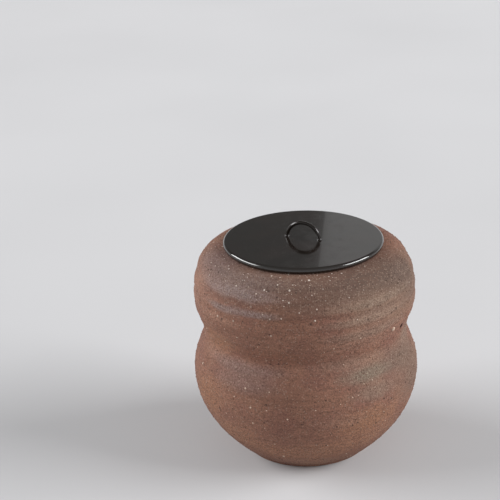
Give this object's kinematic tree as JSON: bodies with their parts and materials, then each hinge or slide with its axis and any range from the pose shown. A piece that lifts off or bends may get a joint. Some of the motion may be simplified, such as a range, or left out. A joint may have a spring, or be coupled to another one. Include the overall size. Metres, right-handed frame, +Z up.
{
  "type": "lidded water jar",
  "caption": "Unglazed stoneware tea-room water jar with a waist between two bulges, a flat black lacquered lid that lifts off, and a small hoop handle on the lid.",
  "frame": {"origin": "centre of the flat base, on the surface that the jar stands on", "axes": "+Z up along the jar's turning axis; -Y faces the viewer of the picture; the hoop handle is turned 22 degrees from X"},
  "size_m": [0.186, 0.186, 0.196],
  "materials": {
    "stoneware": "unglazed reddish-brown stoneware, dry and gritty, with pale grains and grey kiln blushes",
    "lid_lacquer": "black lacquer over turned wood, polished to a mirror",
    "handle_lacquer": "black lacquer over a bent metal rod, glossy"
  },
  "bodies": {
    "jar": {"jar_body": "stoneware"},
    "lid": {"lid_board": "lid_lacquer", "lid_locating_ring": "lid_lacquer", "handle_hoop": "handle_lacquer"}
  },
  "joints": [
    {"name": "lid_lift", "type": "slide", "parent": "jar", "child": "lid", "axis": [0, 0, 1], "range_m": [0, 0.12]}
  ]
}
